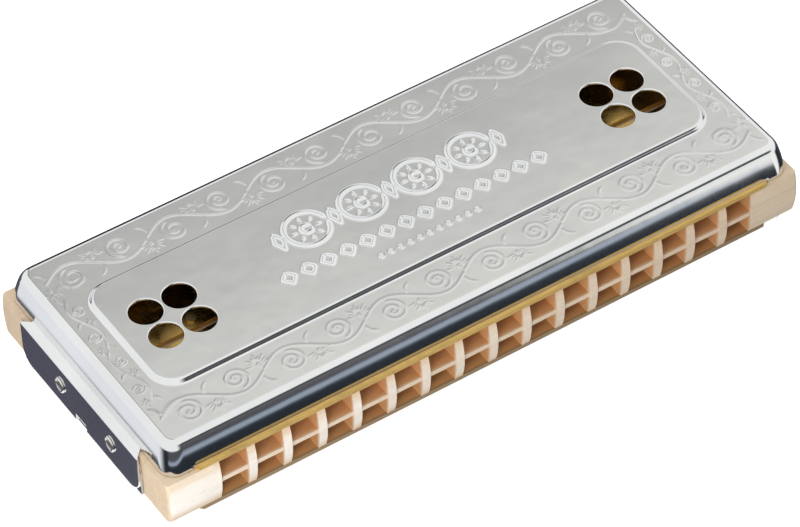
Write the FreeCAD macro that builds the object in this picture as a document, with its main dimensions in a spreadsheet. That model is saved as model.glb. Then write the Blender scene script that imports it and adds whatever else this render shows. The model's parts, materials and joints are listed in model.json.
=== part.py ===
"""Double-sided tremolo harmonica: wooden comb, four brass reed plates with 64 reeds, two nailed sheet covers.

Frame: X runs along the comb with the low notes at -X, -Y is the front mouthpiece, +Z is up. The origin is
the middle of the bottom cover's flat panel. Each piece is drawn about the comb's centre and then lifted.
"""
import FreeCAD, Part
import math
import os
import Sketcher

SIZES = {
    "comb_length": 131.0,
    "comb_depth": 54.5,
    "comb_thickness": 8.9,
    "comb_nose": 0.7,
    "comb_corner": 0.8,
    "hole_count": 16,
    "hole_pitch": 7.0,
    "hole_width": 5.4,
    "web_thickness": 0.95,
    "web_setback": 0.45,
    "spine_half": 4.3,
    "plate_length": 118.8,
    "plate_thickness": 0.9,
    "plate_gap": 1.2,
    "plate_corner": 0.8,
    "reed_width": 2.2,
    "reed_root": 0.28,
    "reed_waist": 0.16,
    "reed_tip": 0.22,
    "waist_share": 0.7,
    "longest_reed": 14.8,
    "shortest_reed": 8.6,
    "draw_line": 22.2,
    "blow_line": 7.0,
    "slot_side_gap": 0.05,
    "slot_end_gap": 0.12,
    "flex_gap": 0.04,
    "pad_length": 2.5,
    "pad_width": 2.4,
    "pad_thickness": 0.5,
    "rivet_radius": 0.5,
    "rivet_head_radius": 0.9,
    "rivet_head": 0.25,
    "plate_nail_end": 57.3,
    "plate_nail_front": 22.8,
    "plate_nail_back": 6.5,
    "plate_nail_inner": 2.6,
    "plate_nail_radius": 0.45,
    "plate_nail_head_radius": 1.0,
    "plate_nail_head": 0.35,
    "plate_nail_depth": 3.2,
    "overall_height": 23.2,
    "sheet": 0.4,
    "relief_gap": 0.2,
    "foot_length": 129.4,
    "foot_depth": 53.0,
    "rim_length": 127.4,
    "rim_depth": 50.4,
    "cover_corner": 2.4,
    "cover_edge": 1.3,
    "panel_length": 113.4,
    "panel_depth": 26.6,
    "panel_rise": 0.95,
    "panel_bevel": 0.75,
    "panel_corner": 4.5,
    "sound_hole_radius": 3.0,
    "sound_hole_spacing": 6.7,
    "sound_hole_offset": 47.0,
    "flap_width": 38.6,
    "flap_reach": 4.4,
    "flap_corner": 3.4,
    "flap_bend": 0.36,
    "flap_face": 65.58,
    "flap_notch_width": 3.6,
    "flap_notch_depth": 1.5,
    "flap_notch_offset": 0.2,
    "cover_nail_front": 10.2,
    "cover_nail_rear": 6.3,
    "cover_nail_height": 0.4,
    "cover_nail_radius": 0.75,
    "cover_nail_length": 10.0,
    "cover_nail_head_radius": 1.55,
    "cover_nail_head": 0.35,
}
ROTATE_X = FreeCAD.Rotation(FreeCAD.Vector(1, 0, 0), 180)
ROTATE_Y = FreeCAD.Rotation(FreeCAD.Vector(0, 1, 0), 180)
ROTATE_Z = FreeCAD.Rotation(FreeCAD.Vector(0, 0, 1), 180)

doc = FreeCAD.newDocument("harmonica")
sheet = doc.addObject("Spreadsheet::Sheet", "Sizes")
for row, (alias, value) in enumerate(SIZES.items(), start=1):
    sheet.set(f"A{row}", alias)
    sheet.set(f"B{row}", str(value))
    sheet.setAlias(f"B{row}", alias)
doc.recompute()

nodes = []
COLUMNS = range(1, int(sheet.hole_count) + 1)
MIDDLE_COLUMN = (sheet.hole_count + 1) / 2
REED_STEPS = sheet.hole_count - 1
NAILED_WALLS = (-6, -3, 0, 3, 6)


# ---------------------------------------------------------------- helpers

def origin_feature(body, role):
    """Return the body's own origin plane or axis with this role."""
    return next(item for item in body.Origin.OriginFeatures if item.Role == role)


def new_body(label):
    """Make a design body under this label."""
    body = doc.addObject("PartDesign::Body", label)
    body.Label = label
    return body


def new_sketch(body, name, role, height=None):
    """Make a sketch on one of the body's origin planes, raised by the expression height."""
    sketch = body.newObject("Sketcher::SketchObject", name)
    sketch.AttachmentSupport = [(origin_feature(body, role), "")]
    sketch.MapMode = "FlatFace"
    if height:
        sketch.setExpression("AttachmentOffset.Base.z", height)
    return sketch


def pin_point(sketch, name, geometry, point, across, along):
    """Hold one point of a sketch at the expressions across and along."""
    spot = sketch.getPoint(geometry, point)
    for suffix, kind, now, expression in (
        ("x", "DistanceX", spot.x, across),
        ("y", "DistanceY", spot.y, along),
    ):
        index = sketch.addConstraint(Sketcher.Constraint(kind, -1, 1, geometry, point, now))
        sketch.renameConstraint(index, f"{name}_{suffix}")
        sketch.setExpression(f"Constraints.{name}_{suffix}", expression)


def outline(sketch, name, corners):
    """Add a closed straight-sided outline through corners, each a pair of expressions."""
    first = sketch.GeometryCount
    count = len(corners)
    spots = [
        FreeCAD.Vector(math.cos(math.tau * k / count), math.sin(math.tau * k / count), 0)
        for k in range(count)
    ]
    sketch.addGeometry([Part.LineSegment(spots[k], spots[(k + 1) % count]) for k in range(count)], False)
    for k in range(count):
        sketch.addConstraint(Sketcher.Constraint("Coincident", first + k, 2, first + (k + 1) % count, 1))
    for k, (across, along) in enumerate(corners):
        pin_point(sketch, f"{name}_{k}", first + k, 1, across, along)


def rectangle(sketch, name, left, right, low, high):
    """Add a rectangle between four expressions."""
    outline(sketch, name, [(left, low), (right, low), (right, high), (left, high)])


def circle(sketch, name, across, along, radius):
    """Add a circle at two expressions, with its radius bound to a third."""
    index = sketch.addGeometry(Part.Circle(FreeCAD.Vector(0, 0, 0), FreeCAD.Vector(0, 0, 1), 1.0), False)
    pin_point(sketch, name, index, 3, across, along)
    bind_radius(sketch, name, index, radius)


def bind_radius(sketch, name, geometry, radius):
    """Bind the radius of a circle or arc to an expression."""
    now = sketch.Geometry[geometry].Radius
    bound = sketch.addConstraint(Sketcher.Constraint("Radius", geometry, now))
    sketch.renameConstraint(bound, f"{name}_radius")
    sketch.setExpression(f"Constraints.{name}_radius", radius)


def extrude(body, kind, name, sketch, length, both_ways=False):
    """Pad or pocket a sketch by the expression length."""
    feature = body.newObject(f"PartDesign::{kind}", name)
    feature.Profile = sketch
    feature.SideType = "Symmetric" if both_ways else "One side"
    feature.setExpression("Length", length)
    return feature


def round_edges(body, name, base, radius, wanted):
    """Fillet the edges of base for which wanted(edge) is true."""
    doc.recompute()
    names = [f"Edge{k}" for k, edge in enumerate(base.Shape.Edges, start=1) if wanted(edge)]
    feature = body.newObject("PartDesign::Fillet", name)
    feature.Base = (base, names)
    feature.setExpression("Radius", radius)
    return feature


def mirrored(body, name, role):
    """Make a mirror step across one of the body's origin planes, for use in repeat()."""
    step = body.newObject("PartDesign::Mirrored", name)
    step.MirrorPlane = (origin_feature(body, role), [""])
    return step


def along_columns(body, name):
    """Make a pattern step that repeats along X once for each column of holes."""
    step = body.newObject("PartDesign::LinearPattern", name)
    step.Direction = (origin_feature(body, "X_Axis"), [""])
    step.Mode = "Spacing"
    step.setExpression("Offset", "Sizes.hole_pitch")
    step.setExpression("Occurrences", "Sizes.hole_count")
    return step


def repeat(body, name, feature, steps):
    """Repeat a feature through pattern and mirror steps and make that the body's tip."""
    pattern = body.newObject("PartDesign::MultiTransform", name)
    pattern.Originals = [feature]
    pattern.Transformations = steps
    body.Tip = pattern
    return pattern


def lift(piece):
    """Raise a piece from the comb's centre to its height above the bottom panel."""
    piece.setExpression("Placement.Base.z", "Sizes.overall_height/2")
    nodes.append(piece)


def group(label, shapes):
    """Keep several separate solids together as one sub-part."""
    piece = doc.addObject("Part::Feature", label)
    piece.Label = label
    piece.Shape = Part.makeCompound(shapes)
    lift(piece)


# ---------------------------------------------------------------- where things are

def is_draw(column):
    """Even columns sound on the draw breath and odd columns on the blow breath."""
    return column % 2 == 0


def column_x(column):
    """Return the expression for a column's centre."""
    return f"Sizes.hole_pitch*{column - MIDDLE_COLUMN}"


def reed_length(column):
    """Return the expression for a column's reed length, shrinking evenly from low to high notes."""
    return f"Sizes.longest_reed*(Sizes.shortest_reed/Sizes.longest_reed)^({column - 1}/{REED_STEPS})"


def reed_line(column):
    """Return the expression for how far a column's reeds are hinged from the middle of the comb."""
    return "Sizes.draw_line" if is_draw(column) else "Sizes.blow_line"


def plate_nail_places():
    """Return the expressions of the nails in one plate: along its inner edge and at its two ends."""
    inner_edge = [(f"Sizes.hole_pitch*{wall}", "-Sizes.plate_nail_inner") for wall in NAILED_WALLS]
    depths = ("-Sizes.plate_nail_back", "-Sizes.plate_nail_front")
    ends = [(f"{sign}Sizes.plate_nail_end", depth) for sign in ("-", "") for depth in depths]
    return inner_edge + ends


def cover_nail_places():
    """Return the nails at one end of the comb as pairs of y and z."""
    return [
        (-sheet.cover_nail_front, sheet.cover_nail_height),
        (sheet.cover_nail_rear, sheet.cover_nail_height),
    ]


def reed_placement(column, side, level):
    """Return the place of a reed's flex line, with +Z off the plate's face and +Y towards the tip.

    side is -1 for the front plates and 1 for the back ones; level is 1 for upper and -1 for lower.
    """
    tip = -side if is_draw(column) else side
    outward = level if is_draw(column) else -level
    line = sheet.draw_line if is_draw(column) else sheet.blow_line
    face = sheet.comb_thickness / 2
    if is_draw(column):
        face += sheet.plate_thickness
    turns = {
        (1, 1): FreeCAD.Rotation(),
        (1, -1): ROTATE_Y,
        (-1, -1): ROTATE_X,
        (-1, 1): ROTATE_Z,
    }
    x = sheet.hole_pitch * (column - MIDDLE_COLUMN)
    return FreeCAD.Placement(FreeCAD.Vector(x, side * line, level * face), turns[(tip, outward)])


def every_reed():
    """Yield column, side and level for all the reeds."""
    for side in (-1, 1):
        for level in (1, -1):
            for column in COLUMNS:
                yield column, side, level


# ---------------------------------------------------------------- wooden comb

def comb():
    """Wooden comb: rounded front and back noses, and a row of double holes in each of them."""
    body = new_body("comb")
    section = new_sketch(body, "comb_section", "YZ_Plane")
    flat = "Sizes.comb_depth/2"
    half = "Sizes.comb_thickness/2"
    bulge = "((Sizes.comb_thickness/2)^2 + Sizes.comb_nose^2)/(2*Sizes.comb_nose)"
    depth = sheet.comb_depth / 2
    rise = sheet.comb_thickness / 2
    corners = [FreeCAD.Vector(y * depth, z * rise, 0) for y, z in ((-1, -1), (1, -1), (1, 1), (-1, 1))]
    back_nose = FreeCAD.Vector(depth + sheet.comb_nose, 0, 0)
    section.addGeometry([
        Part.LineSegment(corners[0], corners[1]),
        Part.Arc(corners[1], back_nose, corners[2]),
        Part.LineSegment(corners[2], corners[3]),
        Part.Arc(corners[3], -back_nose, corners[0]),
    ], False)
    for line, arc, arc_start, arc_end in ((0, 1, 1, 2), (2, 3, 1, 2)):
        section.addConstraint(Sketcher.Constraint("Coincident", line, 2, arc, arc_start))
        section.addConstraint(Sketcher.Constraint("Coincident", arc, arc_end, (line + 2) % 4, 1))
        bind_radius(section, f"nose_{arc}", arc, bulge)
    pin_point(section, "low_front", 0, 1, f"-{flat}", f"-{half}")
    pin_point(section, "low_back", 0, 2, flat, f"-{half}")
    pin_point(section, "high_back", 2, 1, flat, half)
    pin_point(section, "high_front", 2, 2, f"-{flat}", half)
    block = extrude(body, "Pad", "block", section, "Sizes.comb_length", both_ways=True)
    end = sheet.comb_length / 2
    rounded = round_edges(
        body, "rounded_ends", block, "Sizes.comb_corner",
        lambda edge: edge.Curve.TypeId == "Part::GeomCircle" and abs(abs(edge.CenterOfMass.x) - end) < 0.01,
    )
    body.Tip = rounded

    chamber = new_sketch(body, "chamber_outline", "XY_Plane", "Sizes.comb_thickness/2")
    first = column_x(1)
    left = f"{first} - Sizes.hole_width/2"
    right = f"{first} + Sizes.hole_width/2"
    rectangle(chamber, "chamber", left, right, "-Sizes.comb_depth/2 - 2*Sizes.comb_nose", "-Sizes.spine_half")
    cut = extrude(body, "Pocket", "chamber", chamber, "(Sizes.comb_thickness - Sizes.web_thickness)/2")
    chamber_steps = [
        along_columns(body, "chamber_columns"),
        mirrored(body, "chamber_back", "XZ_Plane"),
        mirrored(body, "chamber_lower", "XY_Plane"),
    ]
    repeat(body, "chambers", cut, chamber_steps)

    web = new_sketch(body, "web_outline", "XZ_Plane", "Sizes.comb_depth/2 + Sizes.comb_nose")
    rectangle(web, "web", left, right, "-Sizes.web_thickness/2", "Sizes.web_thickness/2")
    trim = extrude(body, "Pocket", "web_trim", web, "Sizes.web_setback")
    web_steps = [along_columns(body, "web_columns"), mirrored(body, "web_back", "XZ_Plane")]
    repeat(body, "web_trims", trim, web_steps)

    pilots = new_sketch(body, "plate_pilots", "XY_Plane", "Sizes.comb_thickness/2")
    for k, (x, y) in enumerate(plate_nail_places()):
        circle(pilots, f"pilot_{k}", x, y, "Sizes.plate_nail_radius")
    bored = extrude(body, "Pocket", "plate_pilot_holes", pilots, "Sizes.plate_nail_depth")
    pilot_steps = [mirrored(body, "pilots_back", "XZ_Plane"), mirrored(body, "pilots_lower", "XY_Plane")]
    repeat(body, "all_plate_pilots", bored, pilot_steps)

    ends = new_sketch(body, "cover_pilots", "YZ_Plane", "Sizes.comb_length/2")
    for name, y in (("front", "-Sizes.cover_nail_front"), ("rear", "Sizes.cover_nail_rear")):
        circle(ends, name, y, "Sizes.cover_nail_height", "Sizes.cover_nail_radius")
    end_bore = extrude(body, "Pocket", "cover_pilot_holes", ends, "Sizes.cover_nail_length")
    repeat(body, "all_cover_pilots", end_bore, [mirrored(body, "pilots_left", "YZ_Plane")])
    lift(body)


# ---------------------------------------------------------------- brass reed plates

def reed_plate(label, side, level):
    """Brass plate with one slot for each column, drawn as for the front and turned over for the back."""
    body = new_body(label)
    lies_above = level != side
    inner = "Sizes.comb_thickness/2" if lies_above else "-Sizes.comb_thickness/2 - Sizes.plate_thickness"
    outer = f"{inner} + Sizes.plate_thickness"
    shape = new_sketch(body, "plate_outline", "XY_Plane", inner)
    front = "-Sizes.comb_depth/2"
    near_front = f"{front} + Sizes.plate_corner"
    edge = "Sizes.plate_length/2"
    outline(shape, "plate", [
        (f"-{edge} + Sizes.plate_corner", front),
        (f"{edge} - Sizes.plate_corner", front),
        (edge, near_front),
        (edge, "-Sizes.plate_gap/2"),
        (f"-{edge}", "-Sizes.plate_gap/2"),
        (f"-{edge}", near_front),
    ])
    extrude(body, "Pad", "plate", shape, "Sizes.plate_thickness")

    slots = new_sketch(body, "slot_outlines", "XY_Plane", outer)
    half_slot = "(Sizes.reed_width/2 + Sizes.slot_side_gap)"
    for column in COLUMNS:
        x = column_x(column)
        line = reed_line(column)
        beyond = f"{reed_length(column)} + Sizes.slot_end_gap"
        if is_draw(column):
            low, high = f"-{line} - Sizes.slot_end_gap", f"-{line} + {beyond}"
        else:
            low, high = f"-{line} - ({beyond})", f"-{line} + Sizes.slot_end_gap"
        rectangle(slots, f"slot_{column}", f"{x} - {half_slot}", f"{x} + {half_slot}", low, high)
    extrude(body, "Pocket", "slots", slots, "Sizes.plate_thickness")

    holes = new_sketch(body, "fastener_holes", "XY_Plane", outer)
    rivet_back = "Sizes.flex_gap + Sizes.pad_length/2"
    for column in COLUMNS:
        sign = "-" if is_draw(column) else "+"
        y = f"-{reed_line(column)} {sign} ({rivet_back})"
        circle(holes, f"rivet_{column}", column_x(column), y, "Sizes.rivet_radius")
    for k, (x, y) in enumerate(plate_nail_places()):
        circle(holes, f"nail_{k}", x, y, "Sizes.plate_nail_radius")
    extrude(body, "Pocket", "rivet_and_nail_holes", holes, "Sizes.plate_thickness")
    if side > 0:
        body.Placement.Rotation = ROTATE_X
    lift(body)


# ---------------------------------------------------------------- reeds

def tongue(body, name, column, offset):
    """Add one vibrating tongue to a body: thick root, thin waist and a slightly heavier tip."""
    profile = new_sketch(body, f"{name}_profile", "YZ_Plane", offset)
    length = reed_length(column)
    outline(profile, "side", [
        ("0", "0"),
        (length, "0"),
        (length, "Sizes.reed_tip"),
        (f"Sizes.waist_share*({length})", "Sizes.reed_waist"),
        ("0", "Sizes.reed_root"),
    ])
    extrude(body, "Pad", name, profile, "Sizes.reed_width", both_ways=True)


def place_reed(body, column, side, level):
    """Put a reed body on its plate, turned the right way, with its place bound to the sizes."""
    place = reed_placement(column, side, level)
    body.Placement = place
    body.setExpression("Placement.Base.x", column_x(column))
    body.setExpression("Placement.Base.y", f"{side}*{reed_line(column)}")
    face = "Sizes.comb_thickness/2"
    if is_draw(column):
        face = f"({face} + Sizes.plate_thickness)"
    body.setExpression("Placement.Base.z", f"Sizes.overall_height/2 + {level}*{face}")
    nodes.append(body)


def single_reed(label, column, side, level):
    """One reed tongue that swings in its slot about the flex line."""
    body = new_body(label)
    tongue(body, "tongue", column, None)
    place_reed(body, column, side, level)


def reed_pair(label, column, side, level):
    """The tongues of a column and of the next one with the same breath, on one flex line."""
    body = new_body(label)
    tongue(body, "tongue", column, None)
    mirrored_x = reed_placement(column, side, level).Rotation.multVec(FreeCAD.Vector(1, 0, 0)).x
    sign = "-" if mirrored_x < 0 else ""
    tongue(body, "next_tongue", column + 2, f"{sign}2*Sizes.hole_pitch")
    place_reed(body, column, side, level)


def reeds():
    """All the tongues: each front one by itself, and the back ones in pairs of the same breath."""
    for level_name, level in (("upper", 1), ("lower", -1)):
        for column in COLUMNS:
            single_reed(f"front_{level_name}_reed_{column:02d}", column, -1, level)
        for column in COLUMNS:
            if (column - 1) % 4 < 2:
                label = f"back_{level_name}_reeds_{column:02d}_{column + 2:02d}"
                reed_pair(label, column, 1, level)


def reed_roots():
    """The fixed root pad of every reed, riveted to its plate behind the flex line."""
    pad = Part.makeBox(
        sheet.pad_width, sheet.pad_length, sheet.pad_thickness,
        FreeCAD.Vector(-sheet.pad_width / 2, -sheet.flex_gap - sheet.pad_length, 0),
    )
    centre = FreeCAD.Vector(0, -sheet.flex_gap - sheet.pad_length / 2, 0)
    pad = pad.cut(Part.makeCylinder(sheet.rivet_radius, sheet.pad_thickness, centre))
    group("reed_roots", [pad.transformed(reed_placement(*reed).toMatrix()) for reed in every_reed()])


def reed_rivets():
    """A small brass rivet through every root pad and its plate, with a head on each side."""
    centre = FreeCAD.Vector(0, -sheet.flex_gap - sheet.pad_length / 2, 0)
    below = FreeCAD.Vector(0, 0, sheet.plate_thickness)
    above = FreeCAD.Vector(0, 0, sheet.pad_thickness)
    top_head = FreeCAD.Vector(0, 0, sheet.rivet_head)
    grip = sheet.plate_thickness + sheet.pad_thickness
    shank = Part.makeCylinder(sheet.rivet_radius, grip, centre - below)
    heads = [
        Part.makeCylinder(sheet.rivet_head_radius, sheet.rivet_head, centre + above),
        Part.makeCylinder(sheet.rivet_head_radius, sheet.rivet_head, centre - below - top_head),
    ]
    rivet = shank.multiFuse(heads)
    group("reed_rivets", [rivet.transformed(reed_placement(*reed).toMatrix()) for reed in every_reed()])


# ---------------------------------------------------------------- nails

def plate_nails():
    """Small brass nails that hold the four plates to the comb."""
    top = sheet.comb_thickness / 2
    shank = Part.makeCylinder(
        sheet.plate_nail_radius, sheet.plate_nail_depth + sheet.plate_thickness,
        FreeCAD.Vector(0, 0, top - sheet.plate_nail_depth),
    )
    head = Part.makeCylinder(
        sheet.plate_nail_head_radius, sheet.plate_nail_head, FreeCAD.Vector(0, 0, top + sheet.plate_thickness)
    )
    nail = shank.fuse(head)
    shapes = []
    for x_words, y_words in plate_nail_places():
        x = sheet.evalExpression(x_words)
        y = sheet.evalExpression(y_words)
        for side in (-1, 1):
            upper = nail.translated(FreeCAD.Vector(x, -side * y, 0))
            lower = upper.rotated(FreeCAD.Vector(x, -side * y, 0), FreeCAD.Vector(1, 0, 0), 180)
            shapes += [upper, lower]
    group("plate_nails", shapes)


def cover_nail():
    """One cover nail along +X: shank, flat head and a small dished middle, head underside at x = 0."""
    radius = sheet.cover_nail_head_radius
    height = sheet.cover_nail_head
    shank = sheet.cover_nail_radius
    points = [
        (-sheet.cover_nail_length, 0),
        (-sheet.cover_nail_length + 2 * shank, shank),
        (0, shank),
        (0, radius),
        (height * 0.6, radius),
        (height, radius * 0.8),
        (height, radius * 0.62),
        (height * 0.5, radius * 0.5),
        (height * 0.5, 0),
    ]
    wire = Part.makePolygon([FreeCAD.Vector(x, y, 0) for x, y in points + points[:1]])
    return Part.Face(wire).revolve(FreeCAD.Vector(0, 0, 0), FreeCAD.Vector(1, 0, 0), 360)


def cover_nails():
    """Two nails at each end, through both covers' flaps and into the comb's end grain."""
    seat = sheet.flap_face + 2 * sheet.sheet
    right = cover_nail().translated(FreeCAD.Vector(seat, 0, 0))
    left = right.rotated(FreeCAD.Vector(0, 0, 0), FreeCAD.Vector(0, 0, 1), 180)
    shapes = [
        nail.translated(FreeCAD.Vector(0, y, z)) for nail in (right, left) for y, z in cover_nail_places()
    ]
    group("cover_nails", shapes)


# ---------------------------------------------------------------- sheet covers

def tapered_block(body, name, low, high, low_size, high_size):
    """Add a centred block that tapers from low_size at height low to high_size at height high."""
    block = body.newObject("PartDesign::AdditiveWedge", name)
    block.AttachmentSupport = [(origin_feature(body, "XZ_Plane"), "")]
    block.MapMode = "FlatFace"
    spans = {"": low_size, "2": high_size}
    for level, (length, depth) in spans.items():
        block.setExpression(f"X{level}min", f"-({length})/2")
        block.setExpression(f"X{level}max", f"({length})/2")
        block.setExpression(f"Z{level}min", f"-({depth})/2")
        block.setExpression(f"Z{level}max", f"({depth})/2")
    block.setExpression("Ymin", low)
    block.setExpression("Ymax", high)
    return block


def stamped_form(label, inset):
    """The solid inside a cover's surface: sloped skirt, flat rim and raised middle panel, less inset."""
    body = new_body(label)
    rim = f"Sizes.overall_height/2 - Sizes.panel_rise - {inset}"
    top = f"Sizes.overall_height/2 - {inset}"
    slimmer = f"2*{inset}"
    skirt = tapered_block(
        body, "skirt", "Sizes.comb_thickness/2", rim,
        (f"Sizes.foot_length - {slimmer}", f"Sizes.foot_depth - {slimmer}"),
        (f"Sizes.rim_length - {slimmer}", f"Sizes.rim_depth - {slimmer}"),
    )
    corners = round_edges(
        body, "skirt_corners", skirt, f"Sizes.cover_corner - {inset}",
        lambda edge: edge.BoundBox.ZLength > 1,
    )
    rim_height = skirt.Shape.BoundBox.ZMax
    round_edges(
        body, "rolled_edge", corners, f"Sizes.cover_edge - {inset}",
        lambda edge: edge.BoundBox.ZMin > rim_height - 0.01,
    )
    panel = tapered_block(
        body, "panel", rim, top,
        (f"Sizes.panel_length + 2*Sizes.panel_bevel - {slimmer}",
         f"Sizes.panel_depth + 2*Sizes.panel_bevel - {slimmer}"),
        (f"Sizes.panel_length - {slimmer}", f"Sizes.panel_depth - {slimmer}"),
    )
    rounded = round_edges(
        body, "panel_corners", panel, f"Sizes.panel_corner - {inset}",
        lambda edge: edge.BoundBox.ZMin > rim_height - 0.01 and edge.BoundBox.ZLength > 0.5,
    )
    body.Tip = rounded
    return body


def end_flap(label, layer):
    """Both end flaps of a cover as one L-shaped sheet at each end; layer counts sheets out from the comb."""
    body = new_body(label)
    face = f"(Sizes.flap_face + {layer}*Sizes.sheet)"
    outer = f"({face} + Sizes.sheet)"
    top = "Sizes.comb_thickness/2 + Sizes.sheet"
    section = new_sketch(body, "flap_section", "XZ_Plane")
    inner_x = "Sizes.foot_length/2 - Sizes.sheet"
    outline(section, "flap", [
        (inner_x, "Sizes.comb_thickness/2"),
        (face, "Sizes.comb_thickness/2"),
        (face, "-Sizes.flap_reach"),
        (outer, "-Sizes.flap_reach"),
        (outer, top),
        (inner_x, top),
    ])
    bent = extrude(body, "Pad", "flap", section, "Sizes.flap_width", both_ways=True)
    reach = -sheet.flap_reach
    far = sheet.flap_face
    rounded = round_edges(
        body, "flap_corners", bent, "Sizes.flap_corner",
        lambda edge: edge.BoundBox.XLength > 0.1 and edge.BoundBox.ZMax < reach + 0.01
        and edge.BoundBox.YLength < 0.01,
    )
    bend = round_edges(
        body, "flap_bend", rounded, "Sizes.flap_bend",
        lambda edge: edge.BoundBox.YLength > 30 and edge.BoundBox.ZMin > sheet.comb_thickness / 2 + 0.1
        and edge.BoundBox.XMin > far + 0.1,
    )
    body.Tip = bend
    notch = new_sketch(body, "notch_outline", "YZ_Plane", f"{outer} + Sizes.sheet")
    middle = "Sizes.flap_notch_offset"
    rectangle(
        notch, "notch", f"-{middle} - Sizes.flap_notch_width/2", f"-{middle} + Sizes.flap_notch_width/2",
        "-Sizes.flap_reach - Sizes.sheet", "-Sizes.flap_reach + Sizes.flap_notch_depth",
    )
    extrude(body, "Pocket", "flap_notch", notch, "3*Sizes.sheet")
    return body


def cover(label, layer, nail_side):
    """One stamped cover: hollow form with sound holes, and a flap folded down over each end of the comb."""
    outside = stamped_form(f"{label}_outside", "0")
    inside = stamped_form(f"{label}_inside", "Sizes.sheet")
    flap = end_flap(f"{label}_flap", layer)
    opposite = doc.addObject("Part::Mirroring", f"{label}_opposite_flap")
    opposite.Source = flap
    opposite.Normal = FreeCAD.Vector(1, 0, 0)
    shell = doc.addObject("Part::Cut", f"{label}_shell")
    shell.Base = outside
    shell.Tool = inside
    joined = doc.addObject("Part::MultiFuse", f"{label}_joined")
    joined.Shapes = [shell, flap, opposite]
    openings = sound_holes(label) + [plate_relief(label)] + flap_nail_holes(label, nail_side)
    cutters = doc.addObject("Part::Compound", f"{label}_openings")
    cutters.Links = openings
    finished = doc.addObject("Part::Cut", label)
    finished.Label = label
    finished.Base = joined
    finished.Tool = cutters
    if nail_side < 0:
        finished.Placement.Rotation = ROTATE_X
    lift(finished)


def plate_relief(label):
    """The step in a cover's foot where it stands on the plates instead of on the comb."""
    relief = doc.addObject("Part::Box", f"{label}_plate_relief")
    relief.setExpression("Length", "Sizes.plate_length + 2*Sizes.relief_gap")
    relief.setExpression("Width", "Sizes.foot_depth + 2*Sizes.relief_gap")
    relief.setExpression("Height", "Sizes.plate_thickness")
    relief.setExpression("Placement.Base.x", "-Sizes.plate_length/2 - Sizes.relief_gap")
    relief.setExpression("Placement.Base.y", "-Sizes.foot_depth/2 - Sizes.relief_gap")
    relief.setExpression("Placement.Base.z", "Sizes.comb_thickness/2")
    return relief


def sound_holes(label):
    """Four round holes in a square at each end of the panel."""
    holes = []
    for end in (-1, 1):
        for across in (-0.5, 0.5):
            for along in (-0.5, 0.5):
                hole = doc.addObject("Part::Cylinder", f"{label}_sound_hole")
                hole.setExpression("Radius", "Sizes.sound_hole_radius")
                hole.setExpression("Height", "3*Sizes.sheet")
                x = f"{end}*Sizes.sound_hole_offset + {along}*Sizes.sound_hole_spacing"
                hole.setExpression("Placement.Base.x", x)
                hole.setExpression("Placement.Base.y", f"{across}*Sizes.sound_hole_spacing")
                hole.setExpression("Placement.Base.z", "Sizes.overall_height/2 - 2*Sizes.sheet")
                holes.append(hole)
    return holes


def flap_nail_holes(label, nail_side):
    """Holes along X through the end flaps; nail_side is -1 on the cover that is turned over."""
    holes = []
    for y, z in (("-Sizes.cover_nail_front", "Sizes.cover_nail_height"),
                 ("Sizes.cover_nail_rear", "Sizes.cover_nail_height")):
        hole = doc.addObject("Part::Cylinder", f"{label}_nail_hole")
        hole.setExpression("Radius", "Sizes.cover_nail_radius")
        hole.setExpression("Height", "Sizes.comb_length + 10")
        hole.Placement.Rotation = FreeCAD.Rotation(FreeCAD.Vector(0, 1, 0), 90)
        hole.setExpression("Placement.Base.x", "-(Sizes.comb_length + 10)/2")
        hole.setExpression("Placement.Base.y", f"{nail_side}*({y})")
        hole.setExpression("Placement.Base.z", f"{nail_side}*{z}")
        holes.append(hole)
    return holes


# ---------------------------------------------------------------- build, check and write

def build():
    """Make every sub-part."""
    comb()
    reed_plate("front_top_plate", -1, 1)
    reed_plate("front_bottom_plate", -1, -1)
    reed_plate("back_top_plate", 1, 1)
    reed_plate("back_bottom_plate", 1, -1)
    reeds()
    reed_roots()
    reed_rivets()
    plate_nails()
    cover("top_cover", 1, 1)
    cover("bottom_cover", 0, -1)
    cover_nails()
    doc.recompute()


def check():
    """Stop if any object failed or any sub-part's shape is missing or broken."""
    for item in doc.Objects:
        if {"Invalid", "Error"} & set(item.State):
            raise RuntimeError(f"{item.Name} did not compute: {item.State}")
    for node in nodes:
        if node.Shape.isNull() or not node.Shape.isValid():
            raise RuntimeError(f"{node.Label} has no valid shape")


def write():
    """Write one STEP file for each sub-part."""
    os.makedirs("parts", exist_ok=True)
    for node in nodes:
        node.Shape.exportStep(f"parts/{node.Label}.step")


build()
check()
write()
print(len(nodes), "sub-parts written")
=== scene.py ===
import json
import math

import bmesh
import bpy
import numpy as np
from mathutils import Matrix, Vector, kdtree
from mathutils.geometry import delaunay_2d_cdt

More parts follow.
